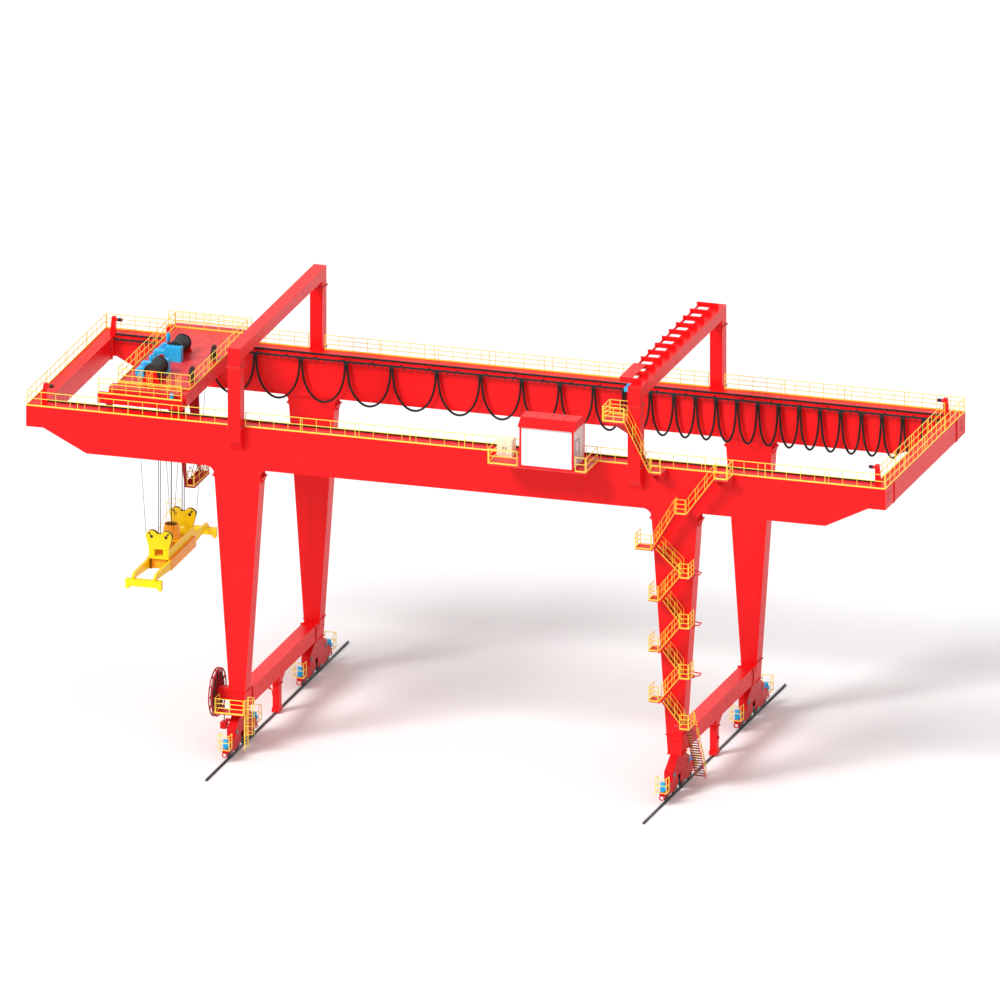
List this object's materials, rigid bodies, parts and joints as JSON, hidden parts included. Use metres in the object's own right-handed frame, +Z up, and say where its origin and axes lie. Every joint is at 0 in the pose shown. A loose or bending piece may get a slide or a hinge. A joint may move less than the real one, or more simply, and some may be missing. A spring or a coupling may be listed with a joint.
{
  "type": "1:2 scale model of a rail mounted gantry crane",
  "caption": "Cantilever gantry crane on two ground rails: box girders on tapered legs, rope trolley with a telescopic container spreader, stairs, cable reel and electrical house.",
  "frame": {"origin": "on the ground midway between the two rails and midway along them", "axes": "+X along the girders towards the stair leg, +Y along the rails away from the electrical house, +Z up"},
  "size_m": [29.86, 15.6, 14.288],
  "materials": {
    "red_paint": "glossy red enamel",
    "dark_red_paint": "glossy dark red enamel",
    "yellow_paint": "satin yellow enamel",
    "spreader_yellow": "glossy yellow enamel",
    "orange_paint": "satin orange enamel",
    "blue_paint": "glossy blue enamel",
    "black_paint": "matt black",
    "rail_steel": "worn rolled steel",
    "wheel_steel": "dark cast steel",
    "drum_steel": "dark grey grooved steel",
    "rope_wire": "greased wire rope",
    "cable_jacket": "matt rubber jacket",
    "white_panel": "white sandwich panel",
    "cream_panel": "cream enamel"
  },
  "bodies": {
    "runway": {"crane_rails": "rail_steel"},
    "gantry": {"back_girder": "red_paint", "back_railing": "yellow_paint", "bogie_frames": "red_paint", "control_cabinet": "cream_panel", "end_beams": "red_paint", "end_railings": "yellow_paint", "equaliser_beams": "red_paint", "festoon_cables": "cable_jacket", "festoon_track": "black_paint", "front_girder": "red_paint", "front_railing": "yellow_paint", "house_door": "white_panel", "house_floor": "red_paint", "house_posts": "red_paint", "house_roof": "red_paint", "house_walls": "white_panel", "left_legs": "red_paint", "leg_roots": "red_paint", "motor_guards": "yellow_paint", "platform_railings": "yellow_paint", "portal_beams": "red_paint", "portal_brackets": "red_paint", "portal_posts": "red_paint", "portal_rack": "red_paint", "reel_case": "red_paint", "right_legs": "red_paint", "side_platforms": "red_paint", "sill_beams": "red_paint", "stair_landings": "red_paint", "stair_railings": "yellow_paint", "stair_stringers": "red_paint", "stair_treads": "yellow_paint", "storm_anchors": "red_paint", "travel_motors": "blue_paint", "travel_wheels": "wheel_steel", "trolley_buffers": "red_paint", "trolley_rails": "black_paint"},
    "cable_reel": {"cable_reel": "dark_red_paint", "reel_cable": "cable_jacket"},
    "trolley": {"trolley_frame": "red_paint", "trolley_trucks": "red_paint", "trolley_wheels": "wheel_steel", "trolley_railing": "yellow_paint", "hanging_platform": "dark_red_paint", "hanger_arms": "dark_red_paint", "drum_stands": "red_paint", "hoist_drives": "blue_paint", "deck_sheaves": "drum_steel", "hoist_ropes": "rope_wire"},
    "front_drum": {"front_drum": "drum_steel"},
    "back_drum": {"back_drum": "drum_steel"},
    "spreader": {"headblock": "spreader_yellow", "headblock_sheaves": "drum_steel", "cable_basket": "orange_paint", "basket_cable": "cable_jacket", "spreader_frame": "orange_paint"},
    "front_telescope": {"front_telescope": "spreader_yellow"},
    "back_telescope": {"back_telescope": "spreader_yellow"}
  },
  "joints": [
    {"name": "gantry_travel", "type": "slide", "parent": "runway", "child": "gantry", "axis": [0, 1, 0], "range_m": [-1.9, 1.9]},
    {"name": "reel_spin", "type": "hinge", "parent": "gantry", "child": "cable_reel", "pos_m": [-8.32, -4.25, 1.95], "axis": [1, 0, 0], "continuous": true},
    {"name": "trolley_travel", "type": "slide", "parent": "gantry", "child": "trolley", "axis": [1, 0, 0], "range_m": [-1.54, 23.82]},
    {"name": "hoist", "type": "slide", "parent": "trolley", "child": "spreader", "axis": [0, 0, 1], "range_m": [-4.4, 4.3], "deforming": ["hoist_ropes"]},
    {"name": "front_drum_spin", "type": "hinge", "parent": "trolley", "child": "front_drum", "pos_m": [-11.08, -2.28, 12.328], "axis": [0, 1, 0], "continuous": true},
    {"name": "back_drum_spin", "type": "hinge", "parent": "trolley", "child": "back_drum", "pos_m": [-11.08, 0.25, 12.328], "axis": [0, 1, 0], "continuous": true},
    {"name": "front_telescope_slide", "type": "slide", "parent": "spreader", "child": "front_telescope", "axis": [0, 1, 0], "range_m": [0, 1.53]},
    {"name": "back_telescope_slide", "type": "slide", "parent": "spreader", "child": "back_telescope", "axis": [0, -1, 0], "range_m": [0, 1.53]}
  ],
  "couplings": [
    {"joint": "reel_spin", "follows": "gantry_travel", "rad_per_m": 1.4493},
    {"joint": "front_drum_spin", "follows": "hoist", "rad_per_m": 8},
    {"joint": "back_drum_spin", "follows": "hoist", "rad_per_m": 8},
    {"joint": "back_telescope_slide", "follows": "front_telescope_slide", "ratio": 1}
  ]
}
